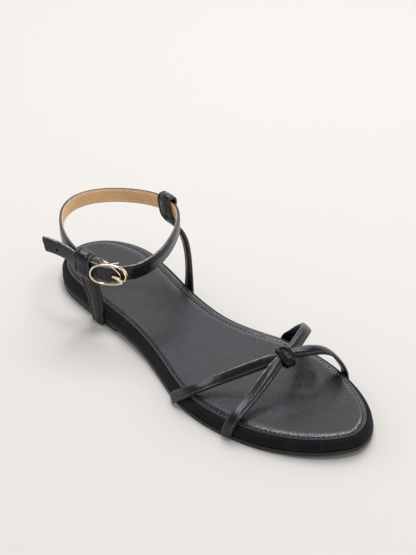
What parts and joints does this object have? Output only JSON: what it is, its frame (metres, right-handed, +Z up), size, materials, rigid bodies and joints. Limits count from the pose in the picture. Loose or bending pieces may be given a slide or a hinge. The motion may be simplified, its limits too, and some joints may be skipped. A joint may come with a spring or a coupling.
{
  "type": "flat sandal",
  "caption": "Flat open sandal for the right foot with crossed toe straps, upright heel straps and a buckled ankle strap on a thin suede-wrapped sole.",
  "frame": {"origin": "middle of the sandal's box, on the floor", "axes": "+X to the inner (medial) side of the foot, +Y towards the heel, so the toe points along -Y, +Z up"},
  "size_m": [0.093, 0.2486, 0.0601],
  "materials": {
    "outsole_rubber": "matt moulded rubber, dark grey",
    "footbed_suede": "black suede with a short nap",
    "sock_leather": "dark grey satin leather with fine grain and a stitched edge",
    "strap_leather": "black satin leather, folded edges, tan lining inside the ankle strap",
    "elastic_tape": "ribbed grey elastic",
    "buckle_metal": "polished pale gold plating"
  },
  "bodies": {
    "root": {"outsole": "outsole_rubber", "footbed": "footbed_suede", "insole": "sock_leather", "toe_straps": "strap_leather", "knot_loop": "strap_leather", "quarter_strap_lateral": "strap_leather", "quarter_strap_medial": "strap_leather", "ankle_strap": "strap_leather", "buckle_elastic": "elastic_tape", "buckle_frame": "buckle_metal", "buckle_prong": "buckle_metal"}
  },
  "joints": []
}
